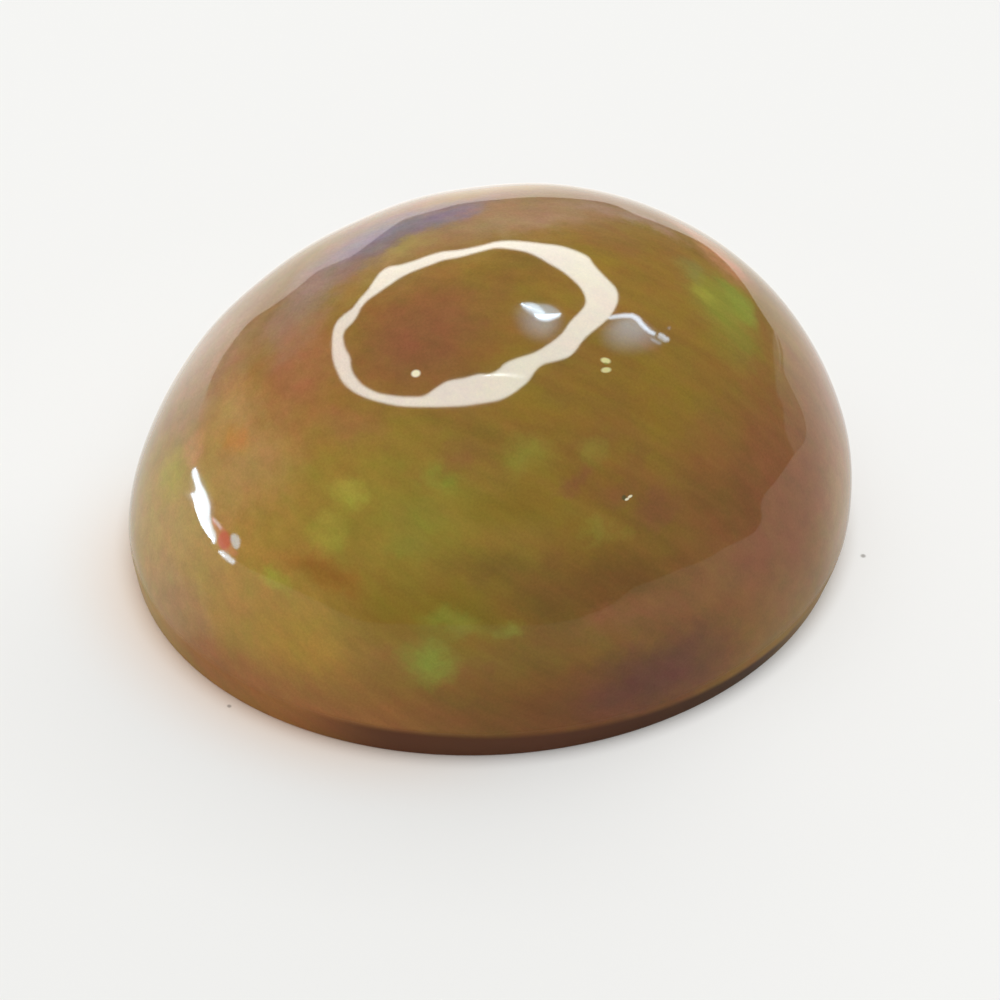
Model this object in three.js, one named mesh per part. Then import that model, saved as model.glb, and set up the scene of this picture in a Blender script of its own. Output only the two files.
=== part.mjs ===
// Oval opal cabochon: one solid stone, cut with a flat back, a small bevel under a crisp girdle
// and a high polished dome. Millimetres, +Z up, the long axis of the oval along X.
// The origin is the middle of the flat back, on which the stone rests.

import * as THREE from 'three';

// Driving dimensions
const LENGTH = 12.0; // the oval's long axis at the girdle
const WIDTH = 10.0; // the oval's short axis at the girdle
const GIRDLE_HEIGHT = 0.56; // from the flat back up to the girdle's edge
const DOME_HEIGHT = 5.41; // from the girdle's edge up to the apex
const BEVEL_INSET = 0.15; // how far the flat back lies inside the girdle along the long axis
const DOME_FULLNESS = 1.9; // exponent of the dome's profile: 2 is an ellipse, less is more pointed

// Fineness of the faceted solid
const STEPS_AROUND = 72;
const STEPS_UP = 18;

const OPAL = new THREE.MeshStandardMaterial({ color: '#6d5622', roughness: 0.08, metalness: 0.0 });

// Half of the stone's section, in the plane of the long axis, from the middle of the back to the apex.
// The dome is the curve (x / a)^n + (z / h)^n = 1, walked by its angle from the girdle.
function sectionPoints() {
  const half = LENGTH / 2;
  const points = [
    new THREE.Vector2(0, 0),
    new THREE.Vector2(half - BEVEL_INSET, 0),
    new THREE.Vector2(half, GIRDLE_HEIGHT),
  ];
  for (let step = 1; step < STEPS_UP; step += 1) {
    const angle = (step / STEPS_UP) * (Math.PI / 2);
    const reach = half * Math.cos(angle) ** (2 / DOME_FULLNESS);
    const rise = DOME_HEIGHT * Math.sin(angle) ** (2 / DOME_FULLNESS);
    points.push(new THREE.Vector2(reach, GIRDLE_HEIGHT + rise));
  }
  points.push(new THREE.Vector2(0, GIRDLE_HEIGHT + DOME_HEIGHT));
  return points;
}

// The section turned about the upright axis, then drawn in along Y to the oval's width.
function cabochon() {
  const geometry = new THREE.LatheGeometry(sectionPoints(), STEPS_AROUND);
  geometry.rotateX(Math.PI / 2);
  geometry.scale(1, WIDTH / LENGTH, 1);
  const mesh = new THREE.Mesh(geometry, OPAL);
  mesh.name = 'cabochon';
  return mesh;
}

const stone = new THREE.Group();
stone.add(cabochon());

export default stone;
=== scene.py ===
"""A loose oval opal, cut as a high cabochon, resting on a pale table.

The stone is one closed mesh worked out from its section and its oval, with the slow waves of hand
polishing. Its colour is a three-dimensional pattern on Object coordinates, so it goes on through every
side of the stone. The lamp, the windows, the wall and the table's edge that the polish mirrors are
cards placed by following the camera's view of their outlines off the dome.
"""

import math

import bpy
import numpy as np
from mathutils import Matrix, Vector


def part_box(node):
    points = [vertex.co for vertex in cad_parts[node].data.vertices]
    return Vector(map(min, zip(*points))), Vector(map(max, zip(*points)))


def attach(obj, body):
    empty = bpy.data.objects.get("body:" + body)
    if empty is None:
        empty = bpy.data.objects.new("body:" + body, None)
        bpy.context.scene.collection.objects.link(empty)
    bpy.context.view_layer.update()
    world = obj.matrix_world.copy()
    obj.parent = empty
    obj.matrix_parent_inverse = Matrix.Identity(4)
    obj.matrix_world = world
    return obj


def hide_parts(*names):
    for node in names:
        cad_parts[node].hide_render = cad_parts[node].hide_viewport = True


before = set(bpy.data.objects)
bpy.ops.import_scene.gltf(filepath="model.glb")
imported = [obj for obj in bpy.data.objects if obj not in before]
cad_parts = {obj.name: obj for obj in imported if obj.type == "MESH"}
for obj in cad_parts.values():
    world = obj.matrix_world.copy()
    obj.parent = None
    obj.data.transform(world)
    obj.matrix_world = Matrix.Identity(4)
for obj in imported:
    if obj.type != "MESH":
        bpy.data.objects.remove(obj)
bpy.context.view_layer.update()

MM = 0.001
STONE_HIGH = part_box("cabochon")[1]

# The cut, in metres. The oval and the height come from the frame.
HALF_LENGTH = STONE_HIGH.x
HALF_WIDTH = STONE_HIGH.y
GIRDLE_HEIGHT = 0.56 * MM
DOME_HEIGHT = STONE_HIGH.z - GIRDLE_HEIGHT
BEVEL_INSET = 0.15 * MM
DOME_FULLNESS = 1.9
ARRIS_ROUNDING = 0.05 * MM
GIRDLE_SOFTNESS = 0.022 * MM

# How fine the mesh is: steps round the oval, and rows up the section. The rows lie closest in a band at
# the girdle.
STEPS_AROUND = 360
BACK_ROWS = 7
ARRIS_ROWS = 6
GIRDLE_ROWS = 33
GIRDLE_BAND = 0.5 * MM
DOME_ROWS = 220
LEAST_ROW_GAP = 0.02 * MM

# Hand polishing leaves slow waves a few micrometres high, which run out above the girdle.
WAVE_COUNT = 14
WAVE_LENGTHS = (1.4 * MM, 3.6 * MM)
WAVE_HEIGHT = 0.0016 * MM
WAVE_GROWTH = 1.5
WAVE_FADE = 0.5 * MM
WAVE_SEED = 11

# The dome's far shoulder was left a little fuller than the rest.
SWELL_PLACE = np.array([2.0, 1.8, 5.2]) * MM
SWELL_REACH = 1.0 * MM
SWELL_HEIGHT = 0.055 * MM

# The camera: a long lens, looking down at the stone, a little rolled.
FRAME_PIXELS = 1000.0
CAMERA_AZIMUTH = math.radians(-33.4)
CAMERA_ELEVATION = math.radians(43.0)
CAMERA_ROLL = math.radians(7.06)
CAMERA_DISTANCE = 200.0 * MM
PIXELS_PER_MM = 62.52
AIM_RIGHT = 0.20 * MM
AIM_UP = 0.57 * MM
SENSOR_WIDTH = 36.0
CLIP_RANGE = (10 * MM, 2000 * MM)

# How a mirrored ray is followed: how far before and behind the stone's foot it looks for the dome, in
# how many steps and halvings, and the small step that the dome's slope is taken from.
SEARCH_REACH = 10 * MM
SEARCH_STEPS = 400
HALVINGS = 30
SLOPE_STEP = 0.002 * MM

# Where the photo shows the edges of what the dome mirrors, as pixels of the 1000 x 1000 frame. The
# edges of the lights are a little soft there.
EDGE_SOFTNESS = 1.3
LAMP_OUTER_EDGE = (
    (480, 246), (460, 250), (442, 252), (428, 256), (414, 261), (400, 265), (389, 267), (381, 272),
    (374, 281), (368, 290), (360, 299), (353, 308), (344, 315), (337, 322), (333, 332), (332, 346),
    (333, 360), (337, 371), (342, 381), (350, 389), (362, 396), (380, 402), (400, 406), (420, 407),
    (444, 407), (464, 406), (484, 403), (500, 400), (512, 394), (523, 386), (530, 379), (536, 370),
    (544, 364), (556, 361), (568, 357), (575, 351), (580, 344), (587, 336), (598, 327), (608, 318),
    (615, 308), (618, 298), (616, 289), (610, 282), (602, 274), (594, 265), (588, 257), (576, 251),
    (560, 246), (544, 244), (526, 242), (510, 241), (496, 242),
)
LAMP_INNER_EDGE = (
    (482, 251), (460, 257), (444, 260), (430, 265), (414, 271), (400, 278), (388, 286), (378, 293),
    (368, 300), (361, 308), (357, 316), (352, 323), (345, 330), (343, 338), (345, 348), (350, 358),
    (351, 368), (356, 378), (364, 386), (378, 393), (394, 396), (410, 397), (424, 396), (436, 388),
    (448, 381), (464, 378), (478, 374), (488, 374), (498, 370), (506, 363), (518, 358), (534, 353),
    (546, 346), (556, 339), (564, 331), (570, 322), (578, 314), (585, 305), (585, 296), (580, 287),
    (572, 279), (562, 271), (550, 264), (538, 257), (526, 252), (510, 249), (496, 248),
)
TABLE_EDGE = (
    (460, 204), (437, 210), (418, 215), (403, 220), (383, 233), (370, 243), (350, 257), (320, 270),
    (297, 288), (277, 303), (253, 319), (240, 333), (227, 350), (217, 367), (209, 385), (202, 405),
    (195, 422), (189, 440), (189, 458), (197, 480), (207, 507), (222, 540), (240, 563), (263, 575),
    (304, 594), (345, 614), (368, 622), (406, 624), (444, 625), (493, 625), (536, 625), (579, 618),
    (611, 605), (634, 588), (657, 579), (680, 569), (703, 561), (723, 549), (748, 537), (757, 529),
    (762, 518), (761, 505), (765, 494), (776, 481), (787, 466), (796, 453), (804, 442), (806, 429),
    (802, 411), (793, 392), (784, 372), (783, 355), (780, 342), (774, 331), (761, 311), (743, 283),
    (722, 259), (700, 242), (665, 226), (637, 215), (611, 204), (579, 199), (536, 197), (493, 200),
)

# The windows' bright panes and frames in the polish: name, colour, strength, how far away in mm, and
# the outline.
WINDOW_PARTS = (
    ("window_glass", "hazy blue", 6, 130, (
        (521, 304), (525, 303), (531, 303), (540, 304), (549, 305), (556, 309), (560, 314), (556, 317),
        (548, 320), (540, 319), (533, 316), (527, 312), (522, 308),
    )),
    ("window_left_pane", "daylight", 15, 128, (
        (521, 304), (525, 303), (531, 303), (537, 305), (542, 309), (545, 313), (540, 315), (532, 312),
        (525, 308),
    )),
    ("window_sill", "daylight", 20, 126, (
        (535, 314), (541, 317), (549, 316), (556, 314), (560, 313), (560, 316), (554, 319), (546, 321),
        (538, 319),
    )),
    ("side_window", "daylight", 19, 15, (
        (195, 468), (197, 471), (199, 477), (201, 484), (205, 491), (208, 499), (210, 507), (210, 516),
        (212, 526), (215, 533), (216, 538), (215, 543), (213, 543), (211, 538), (209, 531), (206, 524),
        (203, 516), (199, 509), (194, 501), (191, 495), (192, 493), (194, 493), (196, 490), (195, 484),
        (193, 478), (192, 472),
    )),
    ("side_window_foot", "daylight", 15, 15, (
        (219, 551), (223, 551), (227, 554), (231, 557), (235, 561), (233, 564), (229, 562), (224, 558),
        (220, 554),
    )),
    ("side_window_pane", "hazy blue", 10, 15, (
        (231, 536), (234, 534), (238, 536), (240, 541), (239, 547), (236, 549), (233, 546), (231, 541),
    )),
    ("pink_thing", "pink", 3, 16, (
        (212, 518), (217, 522), (224, 528), (228, 535), (230, 543), (234, 549), (238, 553), (234, 556),
        (228, 553), (220, 548), (217, 543), (217, 535), (214, 527),
    )),
    ("table_step", "paper", 0.35, 150, (
        (774, 331), (780, 342), (783, 355), (784, 372), (793, 392), (802, 411), (806, 429), (804, 442),
        (796, 453), (790, 443), (786, 432), (784, 420), (783, 405), (777, 394), (775, 372), (773, 350),
    )),
)

# The bright lines of their frames: name, colour, strength, how far away in mm, and the path with its
# half width, in pixels.
WINDOW_LINES = (
    ("window_frame", "daylight", 19, 130, (
        (607, 318.5, 1.4), (615, 316.5, 1.8), (624, 315.5, 1.9), (632, 315.5, 2.1), (637.5, 318.5, 2.4),
        (641, 323, 2.2), (645, 327.5, 2.0), (650, 331.5, 1.7), (656, 334.5, 1.4),
    )),
    ("window_frame_end", "daylight", 15, 130, ((658, 333, 1.3), (664, 336.5, 1.6), (670, 341, 1.5))),
    ("window_frame_fork", "daylight", 9, 130, ((657, 335.5, 1.2), (662, 339, 1.2), (667, 342, 1.2))),
    ("window_frame_foot", "hazy blue", 6, 130, ((650, 338, 1.2), (656, 341.5, 1.4), (662, 344, 1.2))),
    ("window_frame_spot", "hazy blue", 4, 130, ((668.5, 326, 1.3), (670, 330, 1.3))),
    ("side_window_streak", "daylight", 9, 15, ((212, 518, 1.2), (217, 523, 1.3), (222, 530, 1.2))),
)

# The wall beside the table's left end is nearly as bright as the table: how strong that light is, how
# far away in mm, how many pixels it takes to fade inwards, and the path along the table's edge.
WALL_LIGHT = (1.05, 17, 26, (
    (209, 385), (202, 405), (195, 422), (189, 440), (189, 458), (197, 480), (207, 507),
))

# The haze round the windows: name, strength, how far away in mm, the pixel where it is brightest, and
# the outline.
WINDOW_HAZE = (
    ("haze_inside_ring", 6.5, 140, (543, 320), (
        (508, 310), (518, 300), (535, 299), (552, 301), (565, 308), (568, 322), (562, 336), (548, 346),
        (530, 344), (514, 332),
    )),
    ("haze_outside_ring", 7, 140, (631, 324), (
        (594, 333), (603, 320), (618, 313), (636, 312), (650, 322), (662, 332), (668, 343), (658, 353),
        (640, 358), (615, 358), (598, 348),
    )),
    ("haze_side_window", 5, 17, (203, 500), (
        (190, 462), (197, 463), (204, 475), (209, 486), (214, 496), (217, 508), (217, 520), (214, 531),
        (207, 530), (200, 522), (193, 512), (186, 500), (182, 493), (187, 487), (188, 475),
    )),
)

# The opal's colours, in sRGB
OPAL_COLOURS = {
    "body olive": "#98792f",
    "body amber": "#926c34",
    "straw": "#bc9c5a",
    "amber": "#b48b40",
    "gold": "#b69238",
    "olive": "#a08a36",
    "deep olive": "#927828",
    "leaf green": "#949c3c",
    "sea green": "#8c9c54",
    "lime": "#aea641",
    "soft green": "#98903a",
    "rosy brown": "#aa7048",
    "rosy tan": "#ae825e",
    "peach": "#bc945a",
    "tan": "#b08e6c",
    "brown tan": "#9c7850",
    "olive shade": "#84682f",
    "red brown": "#93603c",
    # painted shade: darker and redder low on the front, towards the girdle
    "painted chestnut shade": "#82542e",
    "umber": "#7e5a2e",
    "amber brown": "#a26c3a",
    "mauve brown": "#6f493f",
    "orange": "#cf9468",
    "orange gold": "#c08a46",
    "olive tan": "#aa9250",
    "rust brown": "#9c6428",
    "violet": "#8c8290",
    "mauve": "#a4887c",
    "pale tan": "#b08c74",
    "smoky mauve": "#8a7266",
    # painted shade on the bevel's front, and deeper painted shade towards the right
    "bevel": "#5e3a2a",
    "bevel in shade": "#40291c",
    "dust": "#6c6258",
    # painted glints, pale specks that stand in for pits in the polish catching the light
    "glint cream": "#fbf1d2",
    "glint pale green": "#e6e0a0",
    "dark green": "#4c5a3c",
    "rust": "#c05236",
}
LIGHT_COLOURS = {
    "lamp": "#f9fffd",
    "daylight": "#d1eaff",
    "hazy blue": "#b8e1ff",
    "pink": "#ff4090",
    "paper": "#fffdf8",
}

# Soft patches in the opal, from the broad ones under to the small ones over them: colour, middle in
# mm, reach in mm along, across and upright, turn about the upright axis in degrees, and how strongly
# it shows.
PATCHES = (
    ("amber", (-5.6, -1.6, 2.6), (4.6, 3.8, 4.0), 0, 1.0),
    ("peach", (-4.9, -0.3, 3.6), (1.6, 1.3, 1.3), -10, 0.8),
    ("straw", (-6.2, 0.6, 2.0), (2.2, 2.8, 2.8), 0, 0.9),
    ("tan", (0.6, 2.8, 5.4), (5.4, 2.9, 2.4), 10, 1.0),
    ("brown tan", (2.0, 1.2, 5.2), (3.0, 1.8, 1.8), 10, 0.6),
    ("tan", (0.9, 1.0, 5.9), (1.9, 0.7, 0.6), -8, 0.75),
    ("pale tan", (2.3, 0.85, 5.36), (2.2, 0.42, 0.6), -27, 0.9),
    ("rosy tan", (5.8, -1.9, 2.2), (3.2, 3.6, 3.2), 0, 1.0),
    ("rosy brown", (-3.65, 0.35, 4.65), (1.8, 1.1, 1.3), 60, 0.85),
    ("tan", (-4.3, 2.3, 3.6), (2.6, 1.4, 1.8), 30, 1.0),
    ("mauve", (-3.1, 1.5, 4.75), (1.6, 1.0, 1.0), 30, 0.45),
    ("red brown", (-2.1, -0.5, 5.6), (2.2, 1.4, 1.2), 10, 0.95),
    ("olive shade", (0.0, -0.1, 5.95), (1.3, 0.7, 0.6), 0, 0.6),
    ("red brown", (2.8, -3.8, 2.8), (4.0, 2.2, 3.2), 35, 1.0),
    ("umber", (-0.8, -4.4, 2.9), (2.8, 1.0, 1.3), -5, 0.8),
    ("umber", (2.0, -3.9, 3.4), (1.6, 0.8, 1.0), 0, 0.5),
    # painted shade: darkens the front low down towards the girdle and turns it redder
    ("painted chestnut shade", (-0.6, -5.0, 0.9), (5.0, 2.4, 1.8), -10, 1.0),
    ("amber brown", (-5.8, -1.5, 0.5), (1.7, 1.4, 1.0), -45, 1.0),
    ("amber brown", (-4.6, -3.4, 0.5), (2.8, 1.4, 1.5), -40, 1.0),
    ("peach", (4.9, -2.7, 1.5), (1.3, 1.7, 1.7), -30, 0.5),
    ("mauve brown", (0.2, -5.0, 1.2), (2.2, 1.2, 1.1), 8, 0.72),
    ("red brown", (0.3, -4.7, 2.3), (1.2, 0.5, 0.45), 5, 0.7),
    ("olive", (-3.4, -2.6, 3.9), (3.2, 2.2, 2.1), -30, 0.9),
    ("deep olive", (-3.3, -3.6, 2.6), (2.4, 0.9, 1.0), -35, 0.8),
    ("deep olive", (-1.9, -3.2, 4.1), (1.1, 0.5, 0.5), -15, 0.6),
    ("gold", (-4.9, -2.6, 1.8), (1.3, 0.8, 0.9), -50, 0.7),
    ("peach", (-4.6, 0.7, 3.75), (1.0, 0.9, 0.9), 20, 0.9),
    ("rosy brown", (-3.5, -1.1, 4.6), (0.9, 0.5, 0.5), -40, 0.5),
    ("mauve", (-1.6, 2.1, 5.1), (2.7, 1.0, 1.1), 10, 0.9),
    ("violet", (-1.1, 1.95, 5.3), (2.1, 0.6, 0.7), -3, 0.8),
    ("smoky mauve", (-1.3, 1.6, 5.42), (2.2, 0.5, 0.55), 0, 0.75),
    ("olive tan", (-1.35, 1.35, 5.55), (0.9, 0.4, 0.4), -3, 0.8),
    ("orange", (3.8, 0.12, 4.78), (1.5, 0.6, 0.95), -66, 0.88),
    ("leaf green", (3.05, -1.3, 4.85), (0.95, 1.4, 0.9), 5, 0.6),
    ("sea green", (2.85, -0.5, 5.15), (0.5, 0.4, 0.4), 0, 0.3),
    ("leaf green", (3.5, -1.0, 4.7), (0.45, 0.7, 0.45), 20, 0.9),
    ("lime", (2.85, -1.0, 5.1), (0.3, 0.5, 0.3), 20, 0.5),
    ("leaf green", (-3.4, -3.9, 1.9), (0.55, 0.5, 0.7), -35, 0.9),
    ("leaf green", (-2.97, -3.85, 2.58), (0.8, 0.45, 0.3), -30, 0.6),
    ("soft green", (-2.2, -4.24, 2.45), (0.4, 0.35, 0.25), -25, 0.8),
    ("lime", (-3.9, -1.85, 4.05), (0.5, 0.4, 0.4), -45, 0.85),
    ("leaf green", (-2.7, -2.5, 4.4), (0.5, 0.35, 0.35), -30, 0.7),
    ("soft green", (-3.1, -2.75, 3.9), (0.8, 0.5, 0.45), -30, 0.5),
    ("soft green", (-1.35, -2.87, 4.7), (0.6, 0.4, 0.35), -20, 0.75),
    ("soft green", (-0.31, -3.16, 4.62), (0.35, 0.4, 0.35), -10, 0.6),
    ("soft green", (-0.5, -3.9, 3.7), (1.1, 0.25, 0.35), -28, 0.6),
    ("lime", (-4.3, -2.05, 3.5), (0.5, 0.4, 0.4), -45, 0.6),
    ("soft green", (-3.3, -2.95, 3.6), (0.7, 0.4, 0.35), -30, 0.7),
    ("lime", (-5.1, -1.78, 2.5), (0.6, 0.25, 0.25), -50, 0.8),
    ("rust brown", (-4.45, -2.35, 2.9), (1.0, 0.35, 0.4), -58, 0.7),
    ("lime", (-5.4, 0.9, 2.5), (0.5, 0.6, 0.7), 0, 0.5),
    ("orange", (-5.15, 0.76, 3.06), (0.45, 0.4, 0.45), 0, 0.6),
    ("orange gold", (-4.78, 0.24, 3.67), (0.5, 0.5, 0.35), 0, 0.8),
    ("rosy tan", (-5.95, -0.4, 1.1), (0.7, 1.3, 0.9), 0, 0.6),
    ("rosy tan", (-4.2, 1.5, 3.9), (0.9, 0.7, 0.8), 30, 0.5),
    ("rosy brown", (-0.45, -4.6, 2.45), (1.1, 0.4, 0.4), 5, 0.45),
    ("violet", (-0.35, 1.75, 5.55), (1.3, 0.35, 0.4), 3, 0.6),
    ("amber", (0.9, 2.4, 5.15), (2.5, 0.55, 0.65), -8, 0.75),
    ("umber", (-2.4, -3.7, 3.4), (0.9, 0.5, 0.5), -20, 0.5),
    ("red brown", (-2.2, -2.45, 4.7), (0.6, 0.35, 0.35), 0, 0.5),
    ("red brown", (-0.8, -3.36, 4.36), (0.6, 0.3, 0.3), 0, 0.7),
    ("red brown", (-0.1, -3.65, 4.1), (0.5, 0.4, 0.35), 0, 0.5),
    ("red brown", (0.55, -3.9, 3.75), (0.6, 0.4, 0.45), 0, 0.9),
    ("red brown", (3.16, -3.15, 3.49), (0.6, 0.4, 0.5), 0, 0.7),
    ("rosy brown", (3.4, 3.6, 2.2), (2.0, 1.2, 1.5), -30, 0.8),
    ("olive", (-1.2, 4.6, 2.4), (2.6, 1.2, 1.6), 10, 0.9),
    ("leaf green", (-1.9, 4.3, 2.5), (0.9, 0.6, 0.6), 20, 0.8),
    ("orange gold", (-3.9, 3.5, 1.9), (1.1, 0.7, 0.8), 30, 0.7),
    ("mauve", (2.2, 3.9, 3.3), (1.1, 0.6, 0.6), -20, 0.6),
)

# How far the clouds push the patches about, in mm
DRIFT = 0.8

# Painted glints: tiny pale specks that stand in for pits in the polish catching the light, with a dark
# green and a rust speck among them, in the same way.
GLINTS_AND_SPECKS = (
    ("glint cream", (-2.40, -1.06, 5.30), (0.095, 0.080, 0.080), -20, 1.0),
    ("glint pale green", (0.43, -2.06, 5.40), (0.115, 0.062, 0.07), -25, 1.0),
    ("soft green", (0.41, -2.10, 5.37), (0.060, 0.030, 0.035), -25, 0.6),
    ("glint pale green", (0.375, -2.19, 5.33), (0.115, 0.056, 0.065), -8, 0.95),
    ("dark green", (0.00, -3.71, 4.05), (0.050, 0.050, 0.060), 0, 0.7),
    ("glint cream", (0.045, -3.725, 4.016), (0.055, 0.028, 0.026), 10, 1.0),
    ("glint cream", (0.105, -3.713, 4.040), (0.055, 0.028, 0.026), 10, 1.0),
    ("rust", (-5.40, -0.79, 2.60), (0.14, 0.18, 0.22), 0, 0.55),
)

# Two specks of dust on the table, in the same way.
TABLE_SPECKS = (
    ("dust", (5.36, -2.80, 0.0), (0.06, 0.06, 0.06), 0, 0.6),
    ("dust", (-5.64, -1.83, 0.0), (0.05, 0.05, 0.05), 0, 0.6),
)

# Where each kind of patch is still full, as a share of its reach
PATCH_FULL = 0.1
SPECK_FULL = 0.5
DUST_FULL = 0.3


def heading(degrees):
    """The level direction at a bearing: (cos, sin, 0)."""
    angle = math.radians(degrees)
    return (math.cos(angle), math.sin(angle), 0.0)


def oval_heading(degrees):
    """What a place is multiplied by, summed, to tell how far it lies that way on the oval: 1 at the
    girdle."""
    x, y, _ = heading(degrees)
    return (x / HALF_LENGTH, y / HALF_WIDTH, 0.0)


# The opal's clouds and streaks: each noise per millimetre, and the part of its range that is used
DRIFT_NOISE = {"Scale": 1.6, "Detail": 4.0, "Roughness": 0.65}
CLOUD_NOISE = {"Scale": 0.7, "Detail": 4.0, "Roughness": 0.6}
CLOUD_RANGE = {"From Min": 0.35, "From Max": 0.65}
FLECK_NOISE = {"Scale": 2.6, "Detail": 4.0, "Roughness": 0.6}
FLECK_RANGE = {"From Min": 0.25, "From Max": 0.75}
FLECK_STRETCH = (2.5, 1, 1)
STREAK_NOISE = {"Scale": 3.8, "Detail": 4.0, "Roughness": 0.6}
STREAK_STRETCH = (8, 1, 1)
STREAK_DEPTH = 0.09
GRAIN_NOISE = {"Scale": 26.0, "Detail": 2.0, "Roughness": 0.7}
GRAIN_DEPTH = 0.08
SHADE_RANGE = {"From Min": 0.3, "From Max": 0.7}
STREAK_TURN = (0, math.radians(30.0), math.radians(-32.0))

# Fine streaks turn the colour a little to red or green.
RED_TINT = (1.08, 0.93, 1.13, 1.0)
GREEN_TINT = (0.92, 1.07, 0.99, 1.0)

# The bevel's painted shade, a dark band: where it begins as the oval turns to the front, its top in mm from
# the left to the right, how it fades there, the foot of the bevel, where it stops short of the back, and
# where the painted shade turns darker.
BEVEL_FRONT = oval_heading(262.0)
BEVEL_TURNED = {"From Min": 0.6, "From Max": 0.86}
BEVEL_RIGHT = oval_heading(326.6)
BEVEL_TOP = {"From Min": 0.0, "From Max": 1.0, "To Min": 0.57, "To Max": 0.3}
BEVEL_FADE = {"From Min": -0.08, "From Max": 0.1, "To Min": 0.92, "To Max": 0.0}
BEVEL_FOOT = {"From Min": 0.0, "From Max": 0.01}
BEVEL_DARKER = {"From Min": 0.3, "From Max": 0.85}

# The finish, from polished to ground: the heights in mm where one gives way to the other, and what
# changes.
GROUND_RANGE = {
    "From Min": GIRDLE_HEIGHT / MM - 0.05, "From Max": GIRDLE_HEIGHT / MM + 0.2, "To Min": 1.0, "To Max": 0.0,
}
ROUGHNESS = {"To Min": 0.04, "To Max": 0.4}
SPECULAR_LEVEL = {"To Min": 0.5, "To Max": 0.12}

# Opal's IOR is 1.37 to 1.47. Light goes some tenths of a millimetre into it, red the farthest.
OPAL_BODY = {
    "IOR": 1.45, "Subsurface Weight": 0.3, "Subsurface Scale": 0.3 * MM, "Subsurface Radius": (1.0, 0.6, 0.3),
}

# The table: the warm light painted on the paper at the stone's amber end, how much of the light is a
# painted glow of the table's own from the stone's foot outwards, and how the painted soft shadow makes
# that glow brighter or darker. Reaches are on the oval, 1 at the girdle.
PAPER = "#f3f3f1"
# painted light: the warm tint on the paper at the foot of the amber end
PAINTED_WARM_LIGHT = "#f1d9c4"
WARM_HEADING = heading(192.0)
WARM_REACH = {"From Min": 0.97, "From Max": 1.28, "To Min": 1.0, "To Max": 0.0}
WARM_FALL = 2.0
WARM_FACING = {"From Min": 0.45, "From Max": 1.0, "To Min": 0.03, "To Max": 0.8}
PAINTED_GLOW_SHARE = {"From Min": 0.98, "From Max": 1.035, "To Min": 0.15, "To Max": 0.62}
SHADOW_HEADING = heading(213.0)
SHADOW_LOBE = {"From Min": 0.25, "From Max": 1.0, "To Min": 0.7, "To Max": -1.2}
SHADOW_DEPTH = {"From Min": 1.0, "From Max": 1.7, "To Min": 0.1, "To Max": 0.035}
TABLE_RADIUS = 400 * MM
TABLE_STEPS = 96

# The table in the polish: its glow on the dim side and on the lamp's side, near the stone and far from
# it.
MIRRORED_PAPER = "#fffdf8"
GLOW_HEADING = heading(75.0)
NEAR_GLOW = {"From Min": -1.0, "From Max": 1.0, "To Min": 0.1, "To Max": 1.35}
FAR_GLOW = {"From Min": -1.0, "From Max": 1.0, "To Min": 0.33, "To Max": 1.15}
NEAR_TO_FAR = {"From Min": 7 * MM, "From Max": 15 * MM}
NEAR_OWN_LIGHT = 0.75
NEAR_TABLE_RADIUS = 16 * MM
MIRROR_DISTANCE = 120 * MM
EDGE_STEPS = 288

# The room: soft light that is strongest from over the stone's far side, and the dim grey that the
# polish mirrors.
LAMP_ELEVATION = math.radians(66.0)
LAMP_LEVEL = heading(85.0)
LAMP_DIRECTION = (
    LAMP_LEVEL[0] * math.cos(LAMP_ELEVATION),
    LAMP_LEVEL[1] * math.cos(LAMP_ELEVATION),
    math.sin(LAMP_ELEVATION),
)
SOFT_LIGHT = {"From Min": 0.1, "From Max": 1.0, "To Min": 0.4, "To Max": 1.43}
SOFT_WHITE = "#ffffff"
ROOM_GREY = "#808080"
ROOM_STRENGTH = 0.5

# The ring lamp: how far away, and its strength by how high over the table it stands, as the sine of its
# elevation.
LAMP_DISTANCE = 110 * MM
LAMP_RISE = (0.35, 0.85)
LAMP_STRENGTH = (9.9, 16.5)
LAMP_STEPS = 240

# Steps along the windows' outlines and lines for each of their points, how fast a line's ends fade in,
# and the rings of a haze from its rim to its heart.
OUTLINE_STEPS = 5
LINE_STEPS = 8
LINE_END_FADE = 3
HAZE_RINGS = np.linspace(1, 0.02, 16)

# The wall's light from the table's edge inwards: the share of the way, and how much is left there.
WALL_FADE = ((0.0, 1.0), (0.25, 0.6), (0.5, 0.3), (0.75, 0.1), (1.0, 0.0))


def linear(code):
    """A colour from its sRGB hex value, as the linear red, green, blue and alpha that shaders take."""
    parts = [int(code[i:i + 2], 16) / 255 for i in (1, 3, 5)]
    return tuple(p / 12.92 if p <= 0.04045 else ((p + 0.055) / 1.055) ** 2.4 for p in parts) + (1.0,)


def add(tree, kind, inputs=None, **settings):
    """Adds a node, sets its properties, and sets each named input, or links it where the value is a
    socket."""
    node = tree.nodes.new(kind)
    for name, value in settings.items():
        setattr(node, name, value)
    for name, value in (inputs or {}).items():
        if isinstance(value, bpy.types.NodeSocket):
            tree.links.new(value, node.inputs[name])
        else:
            node.inputs[name].default_value = value
    return node


def new_material(name):
    """An empty node material and its tree."""
    material = bpy.data.materials.new(name)
    material.use_nodes = True
    material.node_tree.nodes.clear()
    return material, material.node_tree


def mesh_object(name, points, faces, material):
    """A smooth mesh object at the origin, from an array of points and a list of faces."""
    mesh = bpy.data.meshes.new(name)
    mesh.from_pydata([tuple(p) for p in points], [], faces)
    mesh.polygons.foreach_set("use_smooth", [True] * len(mesh.polygons))
    mesh.materials.append(material)
    mesh.update()
    piece = bpy.data.objects.new(name, mesh)
    bpy.context.scene.collection.objects.link(piece)
    return piece


# The stone's surface

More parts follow.
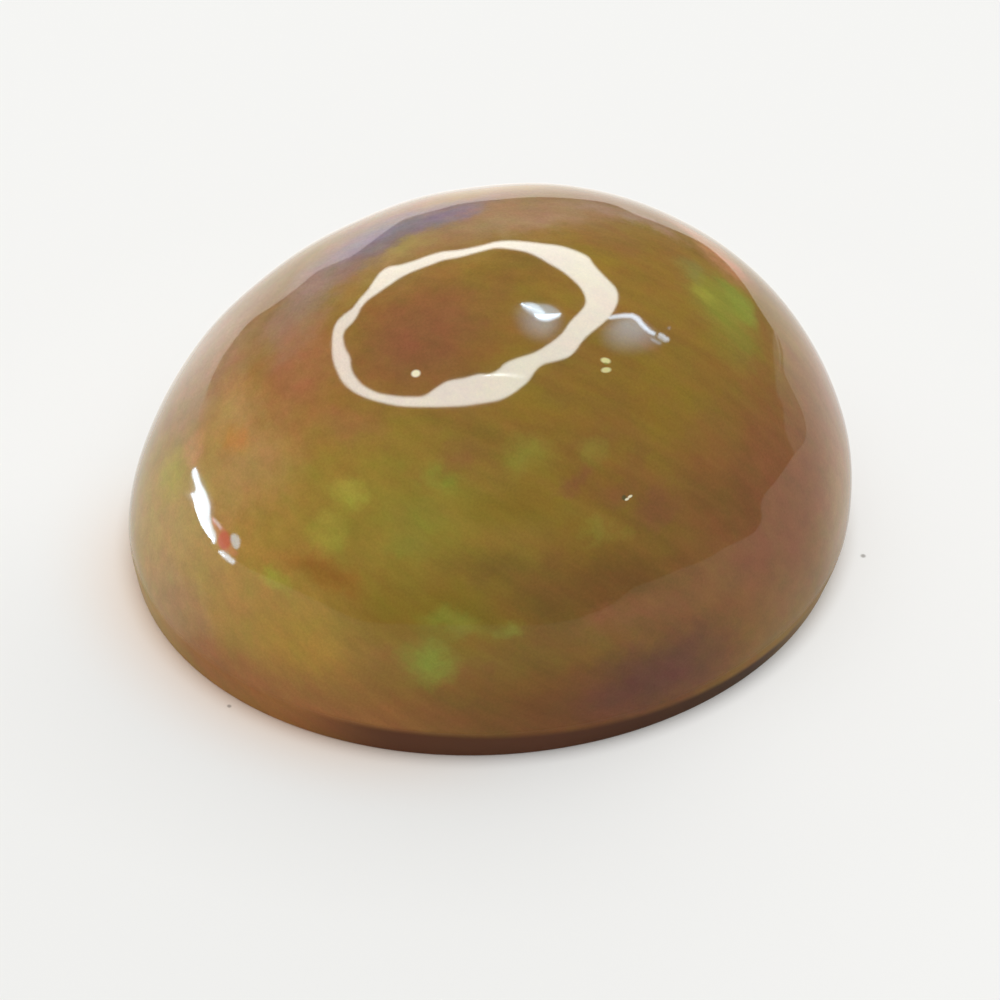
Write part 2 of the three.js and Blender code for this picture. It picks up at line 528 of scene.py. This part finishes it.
def polish_waves(points):
    """How far the polish stands proud of the true dome: a sum of plane cosine waves in random
    directions and a broad swell, h e^(-d^2 / (2 r^2)) at a distance d from its middle, faded out
    towards the girdle so that its edge stays true."""
    random = np.random.default_rng(WAVE_SEED)
    total = np.zeros(points.shape[:-1])
    for _ in range(WAVE_COUNT):
        direction = random.normal(size=3)
        direction /= np.linalg.norm(direction)
        length = WAVE_LENGTHS[0] * (WAVE_LENGTHS[1] / WAVE_LENGTHS[0]) ** random.random()
        phase = random.random() * 2 * np.pi
        size = WAVE_HEIGHT * (length / WAVE_LENGTHS[0]) ** WAVE_GROWTH
        total += size * np.cos(points @ direction * (2 * np.pi / length) + phase)
    beside = np.linalg.norm(points - SWELL_PLACE, axis=-1)
    total += SWELL_HEIGHT * np.exp(-beside ** 2 / (2 * SWELL_REACH ** 2))
    fade = np.clip((points[..., 2] - GIRDLE_HEIGHT) / WAVE_FADE, 0, 1)
    return total * fade * fade * (3 - 2 * fade)


def outside_dome(points):
    """How far points lie outside the polished dome, measured from the middle of the girdle's plane:
    with s = ((x/a)^2 + (y/b)^2)^(n/2) + (z/h)^n all to the power 1/n, a point is at s times the dome's
    own reach."""
    arm = points - np.array([0, 0, GIRDLE_HEIGHT])
    flat = (arm[..., 0] / HALF_LENGTH) ** 2 + (arm[..., 1] / HALF_WIDTH) ** 2
    rise = np.maximum(arm[..., 2], 0) / DOME_HEIGHT
    s = (flat ** (DOME_FULLNESS / 2) + rise ** DOME_FULLNESS) ** (1 / DOME_FULLNESS)
    return np.linalg.norm(arm, axis=-1) * (1 - 1 / s) - polish_waves(points)


def rounded_corner(before, corner, after, reach, steps):
    """A corner of the section as a short curve: a quadratic arc (1-t)^2 p + 2t(1-t) q + t^2 r from one
    side to the other by way of the corner, each `reach` away from it."""
    before, corner, after = (np.array(p, float) for p in (before, corner, after))
    start = corner + (before - corner) / np.linalg.norm(before - corner) * reach
    end = corner + (after - corner) / np.linalg.norm(after - corner) * reach
    t = np.linspace(0, 1, steps)[:, None]
    return (1 - t) ** 2 * start + 2 * t * (1 - t) * corner + t ** 2 * end


def section():
    """The stone's half section along the long axis, from near the middle of the back to just under the
    apex, as (reach, height): the back, a rounded arris, then the bevel's slant and the dome's curve,
    which is a times (1 - (z/h)^n)^(1/n). These two run into each other at the girdle: the reach is the
    smooth lesser of both, -k ln(e^(-bevel/k) + e^(-dome/k))."""
    back_rim = (HALF_LENGTH - BEVEL_INSET, 0.0)
    girdle = (HALF_LENGTH, GIRDLE_HEIGHT)
    arris = rounded_corner((0, 0), back_rim, girdle, ARRIS_ROUNDING, ARRIS_ROWS)
    back = np.column_stack([np.linspace(0, arris[0, 0], BACK_ROWS + 2)[1:-1], np.zeros(BACK_ROWS)])
    near_girdle = np.linspace(arris[-1, 1], GIRDLE_HEIGHT + GIRDLE_BAND, GIRDLE_ROWS + 1)[1:]
    angles = np.linspace(0, np.pi / 2, DOME_ROWS + 1)[1:-1]
    above = GIRDLE_HEIGHT + DOME_HEIGHT * np.sin(angles) ** (2 / DOME_FULLNESS)
    heights = np.concatenate([near_girdle, above[above > near_girdle[-1] + LEAST_ROW_GAP]])
    rise = np.clip((heights - GIRDLE_HEIGHT) / DOME_HEIGHT, 0, 1)
    dome = HALF_LENGTH * (1 - rise ** DOME_FULLNESS) ** (1 / DOME_FULLNESS)
    bevel = HALF_LENGTH + BEVEL_INSET * (heights / GIRDLE_HEIGHT - 1)
    reach = -GIRDLE_SOFTNESS * np.logaddexp(-bevel / GIRDLE_SOFTNESS, -dome / GIRDLE_SOFTNESS)
    return np.vstack([back, arris, np.column_stack([reach, heights])])


def stone_mesh(material):
    """The whole stone: the section carried round the oval, x = reach cos(t), y = reach sin(t) b/a,
    closed by a fan at the middle of the back and one at the apex, then moved by the waves along the
    line from the girdle's middle."""
    rows = section()
    turn = np.linspace(0, 2 * np.pi, STEPS_AROUND, endpoint=False)
    grid = np.empty((len(rows), STEPS_AROUND, 3))
    grid[..., 0] = rows[:, :1] * np.cos(turn)
    grid[..., 1] = rows[:, :1] * np.sin(turn) * (HALF_WIDTH / HALF_LENGTH)
    grid[..., 2] = rows[:, 1:]
    points = np.vstack([[[0, 0, 0]], grid.reshape(-1, 3), [[0, 0, STONE_HIGH.z]]])
    arm = points - np.array([0, 0, GIRDLE_HEIGHT])
    points = points + arm / np.linalg.norm(arm, axis=1, keepdims=True) * polish_waves(points)[:, None]
    here = np.arange(STEPS_AROUND)
    following = (here + 1) % STEPS_AROUND
    row_starts = 1 + np.arange(len(rows) - 1)[:, None] * STEPS_AROUND
    low = (row_starts + here).ravel()
    low_next = (row_starts + following).ravel()
    quads = np.column_stack([low, low_next, low_next + STEPS_AROUND, low + STEPS_AROUND])
    last_row = 1 + (len(rows) - 1) * STEPS_AROUND
    apex = np.full_like(here, len(points) - 1)
    under = np.column_stack([np.zeros_like(here), 1 + following, 1 + here])
    over = np.column_stack([last_row + here, last_row + following, apex])
    faces = quads.tolist() + under.tolist() + over.tolist()
    return mesh_object("opal_stone", points, faces, material)


# Materials

def colour_patch(tree, below, place, colour, centre, reach, turn, strength, full=PATCH_FULL):
    """Lays one soft patch over the colours below it: full in its middle and gone at its reach. The
    renderer holds about eighty of them in one material, and shows it black past that."""
    local = add(tree, "ShaderNodeMapping", {
        "Vector": place, "Location": centre, "Rotation": (0, 0, math.radians(turn)), "Scale": reach,
    }, vector_type="TEXTURE").outputs[0]
    away = add(tree, "ShaderNodeVectorMath", {0: local}, operation="LENGTH").outputs["Value"]
    shown = add(tree, "ShaderNodeMapRange", {
        "Value": away, "From Min": full, "From Max": 1.0, "To Min": strength, "To Max": 0.0,
    }, interpolation_type="SMOOTHSTEP").outputs[0]
    return add(tree, "ShaderNodeMix", {
        0: shown, 6: below, 7: linear(OPAL_COLOURS[colour]),
    }, data_type="RGBA").outputs[2]


def opal_material():
    """Precious opal with a brown body, cut and polished: a glassy skin over a milky, slightly
    translucent body, with soft patches of play of colour at every depth, so none has a hard edge.
    Painted shade darkens the bevel's front and the dome low on the front, and tiny painted glints
    stand in for pits in the polish."""
    material, tree = new_material("polished brown precious opal")
    place = add(tree, "ShaderNodeTexCoord").outputs["Object"]
    in_mm = add(tree, "ShaderNodeVectorMath", {0: place, "Scale": 1 / MM}, operation="SCALE").outputs[0]
    height = add(tree, "ShaderNodeSeparateXYZ", {0: in_mm}).outputs[2]

    # clouds push the patches about, so that they are not round
    drift = add(tree, "ShaderNodeTexNoise", {"Vector": in_mm, **DRIFT_NOISE}).outputs["Color"]
    push = add(tree, "ShaderNodeVectorMath", {
        0: drift, 1: (0.5, 0.5, 0.5),
    }, operation="SUBTRACT").outputs[0]
    drifted = add(tree, "ShaderNodeVectorMath", {
        0: push, 1: (DRIFT, DRIFT, DRIFT), 2: in_mm,
    }, operation="MULTIPLY_ADD").outputs[0]

    # the body: olive brown clouded with amber brown, and the patches over it
    cloud = add(tree, "ShaderNodeTexNoise", {"Vector": drifted, **CLOUD_NOISE}).outputs["Fac"]
    cloudy = add(tree, "ShaderNodeMapRange", {"Value": cloud, **CLOUD_RANGE}).outputs[0]
    colour = add(tree, "ShaderNodeMix", {
        0: cloudy, 6: linear(OPAL_COLOURS["body olive"]), 7: linear(OPAL_COLOURS["body amber"]),
    }, data_type="RGBA").outputs[2]
    for patch in PATCHES:
        colour = colour_patch(tree, colour, drifted, *patch)

    # streaks of colour run down across the stone, about 0.4 mm wide and 1 mm long
    flecks = add(tree, "ShaderNodeMapping", {
        "Vector": in_mm, "Rotation": STREAK_TURN, "Scale": FLECK_STRETCH,
    }, vector_type="TEXTURE").outputs[0]
    fleck = add(tree, "ShaderNodeTexNoise", {"Vector": flecks, **FLECK_NOISE}).outputs["Fac"]
    greener = add(tree, "ShaderNodeMapRange", {"Value": fleck, **FLECK_RANGE}).outputs[0]
    tint = add(tree, "ShaderNodeMix", {0: greener, 6: RED_TINT, 7: GREEN_TINT}, data_type="RGBA").outputs[2]
    colour = add(tree, "ShaderNodeVectorMath", {0: colour, 1: tint}, operation="MULTIPLY").outputs[0]

    # fainter ones of shade are 3 mm long, and a fine grain lies under them
    streaked = add(tree, "ShaderNodeMapping", {
        "Vector": in_mm, "Rotation": STREAK_TURN, "Scale": STREAK_STRETCH,
    }, vector_type="TEXTURE").outputs[0]
    streak = add(tree, "ShaderNodeTexNoise", {"Vector": streaked, **STREAK_NOISE}).outputs["Fac"]
    grain = add(tree, "ShaderNodeTexNoise", {"Vector": in_mm, **GRAIN_NOISE}).outputs["Fac"]
    for pattern, depth in ((streak, STREAK_DEPTH), (grain, GRAIN_DEPTH)):
        shade = add(tree, "ShaderNodeMapRange", {
            "Value": pattern, **SHADE_RANGE, "To Min": 1 - depth, "To Max": 1 + depth,
        }).outputs[0]
        colour = add(tree, "ShaderNodeVectorMath", {0: colour, "Scale": shade}, operation="SCALE").outputs[0]
    # the painted glints and the specks
    for speck in GLINTS_AND_SPECKS:
        colour = colour_patch(tree, colour, in_mm, *speck, full=SPECK_FULL)

    # the bevel is ground, not polished. Its colour is like the dome's where light comes through it; in front,
    # where it turns from the light, painted shade darkens it, in a band that runs out lower and lower towards
    # the right
    facing = add(tree, "ShaderNodeVectorMath", {
        0: place, 1: BEVEL_FRONT,
    }, operation="DOT_PRODUCT").outputs["Value"]
    turned = add(tree, "ShaderNodeMapRange", {
        "Value": facing, **BEVEL_TURNED,
    }, interpolation_type="SMOOTHSTEP").outputs[0]
    sideways = add(tree, "ShaderNodeVectorMath", {
        0: place, 1: BEVEL_RIGHT,
    }, operation="DOT_PRODUCT").outputs["Value"]
    band_top = add(tree, "ShaderNodeMapRange", {"Value": sideways, **BEVEL_TOP}).outputs[0]
    over_band = add(tree, "ShaderNodeMath", {0: height, 1: band_top}, operation="SUBTRACT").outputs[0]
    band = add(tree, "ShaderNodeMapRange", {
        "Value": over_band, **BEVEL_FADE,
    }, interpolation_type="SMOOTHSTEP").outputs[0]
    shown = add(tree, "ShaderNodeMath", {0: band, 1: turned}, operation="MULTIPLY").outputs[0]
    off_back = add(tree, "ShaderNodeMapRange", {"Value": height, **BEVEL_FOOT}).outputs[0]
    shown = add(tree, "ShaderNodeMath", {0: shown, 1: off_back}, operation="MULTIPLY").outputs[0]
    darker = add(tree, "ShaderNodeMapRange", {"Value": sideways, **BEVEL_DARKER}).outputs[0]
    painted_bevel_shade = add(tree, "ShaderNodeMix", {
        0: darker, 6: linear(OPAL_COLOURS["bevel"]), 7: linear(OPAL_COLOURS["bevel in shade"]),
    }, data_type="RGBA").outputs[2]
    colour = add(tree, "ShaderNodeMix", {0: shown, 6: colour, 7: painted_bevel_shade}, data_type="RGBA").outputs[2]
    low = add(tree, "ShaderNodeMapRange", {
        "Value": height, **GROUND_RANGE,
    }, interpolation_type="SMOOTHSTEP").outputs[0]
    rough = add(tree, "ShaderNodeMapRange", {"Value": low, **ROUGHNESS}).outputs[0]
    gloss = add(tree, "ShaderNodeMapRange", {"Value": low, **SPECULAR_LEVEL}).outputs[0]

    shader = add(tree, "ShaderNodeBsdfPrincipled", {
        "Base Color": colour, "Roughness": rough, "Specular IOR Level": gloss, **OPAL_BODY,
    })
    add(tree, "ShaderNodeOutputMaterial", {"Surface": shader.outputs[0]})
    return material


def table_material():
    """Matt white paper. The bright room evens out the stone's shadow except close to its foot, so a part
    of the light is painted as the table's own glow, a little more on the side away from a painted soft
    shadow, and a warm tint painted at the foot of the amber end stands for light that comes through the
    stone. Places are taken on the oval: 1 at the girdle, whichever way."""
    material, tree = new_material("matt white paper")
    place = add(tree, "ShaderNodeTexCoord").outputs["Object"]
    on_oval = add(tree, "ShaderNodeVectorMath", {
        0: place, 1: (1 / HALF_LENGTH, 1 / HALF_WIDTH, 0),
    }, operation="MULTIPLY").outputs[0]
    away = add(tree, "ShaderNodeVectorMath", {0: on_oval}, operation="LENGTH").outputs["Value"]
    bearing = add(tree, "ShaderNodeVectorMath", {0: on_oval}, operation="NORMALIZE").outputs[0]
    facing = add(tree, "ShaderNodeVectorMath", {
        0: bearing, 1: WARM_HEADING,
    }, operation="DOT_PRODUCT").outputs["Value"]
    near = add(tree, "ShaderNodeMapRange", {"Value": away, **WARM_REACH}).outputs[0]
    near = add(tree, "ShaderNodeMath", {0: near, 1: WARM_FALL}, operation="POWER").outputs[0]
    painted_warmth = add(tree, "ShaderNodeMapRange", {
        "Value": facing, **WARM_FACING,
    }, interpolation_type="SMOOTHSTEP").outputs[0]
    painted_warmth = add(tree, "ShaderNodeMath", {0: near, 1: painted_warmth}, operation="MULTIPLY").outputs[0]
    # painted light: a warm tint at the foot of the amber end, for light through the stone
    colour = add(tree, "ShaderNodeMix", {
        0: painted_warmth, 6: linear(PAPER), 7: linear(PAINTED_WARM_LIGHT),
    }, data_type="RGBA").outputs[2]
    in_mm = add(tree, "ShaderNodeVectorMath", {0: place, "Scale": 1 / MM}, operation="SCALE").outputs[0]
    for speck in TABLE_SPECKS:
        colour = colour_patch(tree, colour, in_mm, *speck, full=DUST_FULL)
    # painted light: a share of the paper's light is its own glow, least at the stone's foot
    share = add(tree, "ShaderNodeMapRange", {"Value": away, **PAINTED_GLOW_SHARE}).outputs[0]
    # painted soft shadow: the glow darker towards the shadow's heading and brighter away from it, most near
    # the stone
    shaded = add(tree, "ShaderNodeVectorMath", {
        0: bearing, 1: SHADOW_HEADING,
    }, operation="DOT_PRODUCT").outputs["Value"]
    lobe = add(tree, "ShaderNodeMapRange", {
        "Value": shaded, **SHADOW_LOBE,
    }, interpolation_type="SMOOTHSTEP").outputs[0]
    depth = add(tree, "ShaderNodeMapRange", {"Value": away, **SHADOW_DEPTH}).outputs[0]
    glow_with_painted_shadow = add(tree, "ShaderNodeMath", {0: lobe, 1: depth, 2: 1.0}, operation="MULTIPLY_ADD").outputs[0]
    matt = add(tree, "ShaderNodeBsdfDiffuse", {"Color": colour})
    painted_glow = add(tree, "ShaderNodeEmission", {"Color": colour, "Strength": glow_with_painted_shadow})
    both = add(tree, "ShaderNodeMixShader", {0: share, 1: matt.outputs[0], 2: painted_glow.outputs[0]})
    add(tree, "ShaderNodeOutputMaterial", {"Surface": both.outputs[0]})
    return material


def mirrored_table_material():
    """The table as the polish mirrors it: its own glow, stronger on the lamp's side and fading
    outwards, mixed close to the stone with the shadow that lies there."""
    material, tree = new_material("matt white paper in the polish")
    place = add(tree, "ShaderNodeTexCoord").outputs["Object"]
    reach = add(tree, "ShaderNodeVectorMath", {0: place}, operation="LENGTH").outputs["Value"]
    beyond = add(tree, "ShaderNodeMapRange", {
        "Value": reach, **NEAR_TO_FAR,
    }, interpolation_type="SMOOTHSTEP").outputs[0]
    bearing = add(tree, "ShaderNodeVectorMath", {0: place}, operation="NORMALIZE").outputs[0]
    facing = add(tree, "ShaderNodeVectorMath", {
        0: bearing, 1: GLOW_HEADING,
    }, operation="DOT_PRODUCT").outputs["Value"]
    near_strength = add(tree, "ShaderNodeMapRange", {"Value": facing, **NEAR_GLOW}).outputs[0]
    far_strength = add(tree, "ShaderNodeMapRange", {"Value": facing, **FAR_GLOW}).outputs[0]
    lit = add(tree, "ShaderNodeBsdfDiffuse", {"Color": linear(PAPER)})
    near_own = add(tree, "ShaderNodeEmission", {"Color": linear(MIRRORED_PAPER), "Strength": near_strength})
    near = add(tree, "ShaderNodeMixShader", {0: NEAR_OWN_LIGHT, 1: lit.outputs[0], 2: near_own.outputs[0]})
    far = add(tree, "ShaderNodeEmission", {"Color": linear(MIRRORED_PAPER), "Strength": far_strength})
    both = add(tree, "ShaderNodeMixShader", {0: beyond, 1: near.outputs[0], 2: far.outputs[0]})
    add(tree, "ShaderNodeOutputMaterial", {"Surface": both.outputs[0]})
    return material


def glow_material(name, colour, strength):
    """A light that only the polish mirrors, of one colour, added to what lies behind it. How much of
    its strength is left at each point is kept on the mesh, as light_left."""
    material, tree = new_material(name)
    left = add(tree, "ShaderNodeAttribute", attribute_name="light_left").outputs["Fac"]
    strength = add(tree, "ShaderNodeMath", {0: left, 1: strength}, operation="MULTIPLY").outputs[0]
    glow = add(tree, "ShaderNodeEmission", {"Color": linear(LIGHT_COLOURS[colour]), "Strength": strength})
    clear = add(tree, "ShaderNodeBsdfTransparent")
    both = add(tree, "ShaderNodeAddShader", {0: glow.outputs[0], 1: clear.outputs[0]})
    add(tree, "ShaderNodeOutputMaterial", {"Surface": both.outputs[0]})
    return material


# The camera

def camera_axes():
    """The camera's place and its right, up and backward directions."""
    sin_a, cos_a = math.sin(CAMERA_AZIMUTH), math.cos(CAMERA_AZIMUTH)
    sin_e, cos_e = math.sin(CAMERA_ELEVATION), math.cos(CAMERA_ELEVATION)
    back = np.array([sin_a * cos_e, -cos_a * cos_e, sin_e])
    level = np.array([cos_a, sin_a, 0])
    upright = np.cross(back, level)
    right = math.cos(CAMERA_ROLL) * level + math.sin(CAMERA_ROLL) * upright
    up = np.cross(back, right)
    place = back * CAMERA_DISTANCE
    back = place - (right * AIM_RIGHT + up * AIM_UP)
    back /= np.linalg.norm(back)
    right = right - back * (right @ back)
    right /= np.linalg.norm(right)
    return place, right, np.cross(back, right), back


def make_camera():
    """The camera, with the focal length that gives the frame its pixels per millimetre at the stone."""
    place, right, up, back = camera_axes()
    lens = bpy.data.cameras.new("camera")
    lens.sensor_width = SENSOR_WIDTH
    lens.lens = PIXELS_PER_MM * (CAMERA_DISTANCE / MM) / FRAME_PIXELS * SENSOR_WIDTH
    lens.clip_start, lens.clip_end = CLIP_RANGE
    camera = bpy.data.objects.new("camera", lens)
    camera.matrix_world = Matrix([
        (right[0], up[0], back[0], place[0]),
        (right[1], up[1], back[1], place[1]),
        (right[2], up[2], back[2], place[2]),
        (0, 0, 0, 1),
    ])
    bpy.context.scene.collection.objects.link(camera)
    bpy.context.scene.camera = camera


# What the polish mirrors

def mirrored(pixels, distance, floor=False):
    """Where the camera's rays through these pixels end after the dome mirrors them, on a sphere of that
    radius round the stone, or on the floor before it. The ray is walked down to the dome by halving,
    and the dome's slope is taken from small steps."""
    place, right, up, back = camera_axes()
    pixels = np.asarray(pixels, float)
    focal = PIXELS_PER_MM * CAMERA_DISTANCE / MM
    across = (pixels[:, :1] - FRAME_PIXELS / 2) / focal
    down = (pixels[:, 1:] - FRAME_PIXELS / 2) / focal
    ray = across * right - down * up - back
    ray /= np.linalg.norm(ray, axis=1, keepdims=True)
    reaches = np.linspace(CAMERA_DISTANCE - SEARCH_REACH, CAMERA_DISTANCE + SEARCH_REACH, SEARCH_STEPS)
    depth = outside_dome(place + ray[:, None] * reaches[:, None])
    first = np.maximum((depth < 0).argmax(1), 1)
    near, far = reaches[first - 1], reaches[first]
    for _ in range(HALVINGS):
        middle = (near + far) / 2
        inside = outside_dome(place + ray * middle[:, None]) < 0
        far = np.where(inside, middle, far)
        near = np.where(inside, near, middle)
    spot = place + ray * far[:, None]
    steps = SLOPE_STEP * np.eye(3)
    slope = np.stack([outside_dome(spot + step) - outside_dome(spot - step) for step in steps], -1)
    slope /= np.linalg.norm(slope, axis=1, keepdims=True)
    away = ray - 2 * (ray * slope).sum(1, keepdims=True) * slope
    along = (spot * away).sum(1)
    travel = -along + np.sqrt(along ** 2 - (spot * spot).sum(1) + distance ** 2)
    if floor:
        sinking = np.minimum(away[:, 2], -1e-6)
        travel = np.minimum(travel, -spot[:, 2] / sinking)
    return spot + away * travel[:, None]


def closed_curve(points, count):
    """A smooth closed curve through points, by the sum of cubic pieces whose ends lean along their
    neighbours."""
    points = np.asarray(points, float)
    t = np.linspace(0, len(points), count, endpoint=False)
    i = t.astype(int)
    f = (t - i)[:, None]
    a, b, c, d = (points[(i + k) % len(points)] for k in (-1, 0, 1, 2))
    bend = (2 * a - 5 * b + 4 * c - d) * f ** 2 + (3 * b - a - 3 * c + d) * f ** 3
    return 0.5 * (2 * b + (c - a) * f + bend)


def mirror_only(piece):
    """What only the polish mirrors: it is hidden from the camera and lights nothing."""
    piece.visible_camera = False
    piece.visible_diffuse = False
    piece.visible_transmission = False
    piece.visible_volume_scatter = False
    piece.visible_shadow = False
    return piece


def rings_mesh(name, rings, material, filled=False, closed=True):
    """Strips between curves of as many points each, closed or open, from the first to the last, which
    may be filled."""
    count = len(rings[0])
    here = np.arange(count if closed else count - 1)
    start = (np.arange(len(rings) - 1) * count)[:, None]
    low, low_next = (start + here).ravel(), (start + (here + 1) % count).ravel()
    faces = np.column_stack([low, low_next, low_next + count, low + count]).tolist()
    if filled:
        faces.append(list(range((len(rings) - 1) * count, len(rings) * count)))
    return mirror_only(mesh_object(name, np.vstack(rings), faces, material))


def light_mesh(name, colour, strength, curves, left, distance, filled=False, closed=True):
    """A light in the polish from curves of pixels, with how much of its strength is left on each curve,
    or at each of its points."""
    material = glow_material(name.replace("_", " "), colour, strength)
    rings = [mirrored(curve, distance) for curve in curves]
    piece = rings_mesh(name, rings, material, filled, closed)
    kept = piece.data.attributes.new("light_left", "FLOAT", "POINT")
    kept.data.foreach_set("value", np.concatenate([np.broadcast_to(part, len(curves[0])) for part in left]))


def grown(curve, amount):
    """A closed curve of pixels moved outwards along its own normal by so many pixels."""
    following = np.roll(curve, -1, axis=0)
    along = following - np.roll(curve, 1, axis=0)
    outwards = np.column_stack([along[:, 1], -along[:, 0]]) / np.linalg.norm(along, axis=1, keepdims=True)
    turn = np.sign((curve[:, 0] * following[:, 1] - following[:, 0] * curve[:, 1]).sum())
    return curve + outwards * turn * amount


# The scene

def make_table():
    """The table: a disc of white paper under the stone, which the polish doesn't mirror."""
    turn = np.linspace(0, 2 * np.pi, TABLE_STEPS, endpoint=False)
    rim = TABLE_RADIUS * np.column_stack([np.cos(turn), np.sin(turn), np.zeros(TABLE_STEPS)])
    table = mesh_object("table", rim, [list(range(TABLE_STEPS))], table_material())
    table.visible_glossy = False


def make_mirrored_table():
    """The table as the polish mirrors it: a disc under the stone and a skirt from it out to the edge
    that shows in the dome, which lies on the table where the mirrored ray meets it and otherwise stands
    up at the mirror distance."""
    edge = mirrored(closed_curve(TABLE_EDGE, EDGE_STEPS), MIRROR_DISTANCE, floor=True)
    bearing = np.arctan2(edge[:, 1], edge[:, 0])
    disc = NEAR_TABLE_RADIUS * np.column_stack([np.cos(bearing), np.sin(bearing), np.zeros(EDGE_STEPS)])
    rings_mesh("mirrored_table", [edge, disc], mirrored_table_material(), filled=True)


def make_world():
    """White for the camera and for soft light, dim where the polish mirrors the room."""
    world = bpy.data.worlds.new("room")
    bpy.context.scene.world = world
    world.use_nodes = True
    tree = world.node_tree
    tree.nodes.clear()
    path = add(tree, "ShaderNodeLightPath")
    towards = add(tree, "ShaderNodeTexCoord").outputs["Generated"]
    facing = add(tree, "ShaderNodeVectorMath", {
        0: towards, 1: LAMP_DIRECTION,
    }, operation="DOT_PRODUCT").outputs["Value"]
    strength = add(tree, "ShaderNodeMapRange", {
        "Value": facing, **SOFT_LIGHT,
    }, interpolation_type="SMOOTHSTEP").outputs[0]
    soft = add(tree, "ShaderNodeBackground", {"Color": linear(SOFT_WHITE), "Strength": strength})
    seen = add(tree, "ShaderNodeBackground", {"Color": linear(PAPER), "Strength": 1.0})
    room = add(tree, "ShaderNodeBackground", {"Color": linear(ROOM_GREY), "Strength": ROOM_STRENGTH})
    for_camera = add(tree, "ShaderNodeMixShader", {
        0: path.outputs["Is Camera Ray"], 1: soft.outputs[0], 2: seen.outputs[0],
    })
    for_polish = add(tree, "ShaderNodeMixShader", {
        0: path.outputs["Is Glossy Ray"], 1: for_camera.outputs[0], 2: room.outputs[0],
    })
    add(tree, "ShaderNodeOutputWorld", {"Surface": for_polish.outputs[0]})


def make_ring_lamp():
    """The ring lamp over the stone: a ring between two outlines, brighter where it stands higher over the
    table."""
    outer, inner = closed_curve(LAMP_OUTER_EDGE, LAMP_STEPS), closed_curve(LAMP_INNER_EDGE, LAMP_STEPS)
    curves = [grown(curve, reach) for curve in (outer, inner) for reach in (EDGE_SOFTNESS, -EDGE_SOFTNESS)]
    rise = [mirrored(curve, LAMP_DISTANCE)[:, 2] / LAMP_DISTANCE for curve in curves]
    left = [np.interp(part, LAMP_RISE, LAMP_STRENGTH) for part in rise]
    light_mesh("ring_lamp", "lamp", 1.0, curves, [0, left[1], left[2], 0], LAMP_DISTANCE)


def make_windows():
    """The window behind the lamp and the one at the side: panes whose mirrored outline is a list of
    pixels, and lines along a path of pixels."""
    for name, colour, strength, distance, outline in WINDOW_PARTS:
        rim = closed_curve(outline, OUTLINE_STEPS * len(outline))
        curves = [grown(rim, EDGE_SOFTNESS), grown(rim, -EDGE_SOFTNESS)]
        light_mesh(name, colour, strength, curves, [0, 1], distance * MM, filled=True)
    for name, colour, strength, distance, path in WINDOW_LINES:
        steps = np.linspace(0, len(path) - 1, LINE_STEPS * len(path))
        x, y, half = (np.interp(steps, np.arange(len(path)), column) for column in zip(*path))
        middle = np.column_stack([x, y])
        along = np.gradient(middle, axis=0)
        across = np.column_stack([-along[:, 1], along[:, 0]]) / np.linalg.norm(along, axis=1, keepdims=True)
        soft = np.minimum(EDGE_SOFTNESS, half)
        sides = (-half - soft, -half + soft, half - soft, half + soft)
        curves = [middle + across * side[:, None] for side in sides]
        ends = np.minimum(1, np.minimum(steps, steps[::-1]) * LINE_END_FADE)
        light_mesh(name, colour, strength, curves, [0, ends, ends, 0], distance * MM, closed=False)


def make_wall():
    """The wall's light in the polish: a strip from the table's edge inwards, gone at both ends as
    sin^(1/2)."""
    strength, distance, fade, path = WALL_LIGHT
    edge = np.asarray(path, float)
    ends = np.sin(np.linspace(0, np.pi, len(edge))) ** 0.5
    curves = [edge + np.array([1.0, 0.0]) * step * fade for step, _ in WALL_FADE]
    left = [ends * share for _, share in WALL_FADE]
    light_mesh("wall_light", "paper", strength, curves, left, distance * MM, closed=False)


def make_haze():
    """The haze round the windows, which fades as (1 - s^2)^2 from its brightest pixel out to its
    outline."""
    for name, strength, distance, heart, outline in WINDOW_HAZE:
        rim = closed_curve(outline, OUTLINE_STEPS * len(outline))
        curves = [np.asarray(heart) + step * (rim - np.asarray(heart)) for step in HAZE_RINGS]
        left = (1 - HAZE_RINGS ** 2) ** 2
        light_mesh(name, "hazy blue", strength, curves, left, distance * MM)


stone = stone_mesh(opal_material())
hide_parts("cabochon")
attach(stone, "root")
make_table()
make_mirrored_table()
make_camera()
make_world()
make_ring_lamp()
make_windows()
make_wall()
make_haze()

bpy.context.scene.view_settings.view_transform = "Standard"
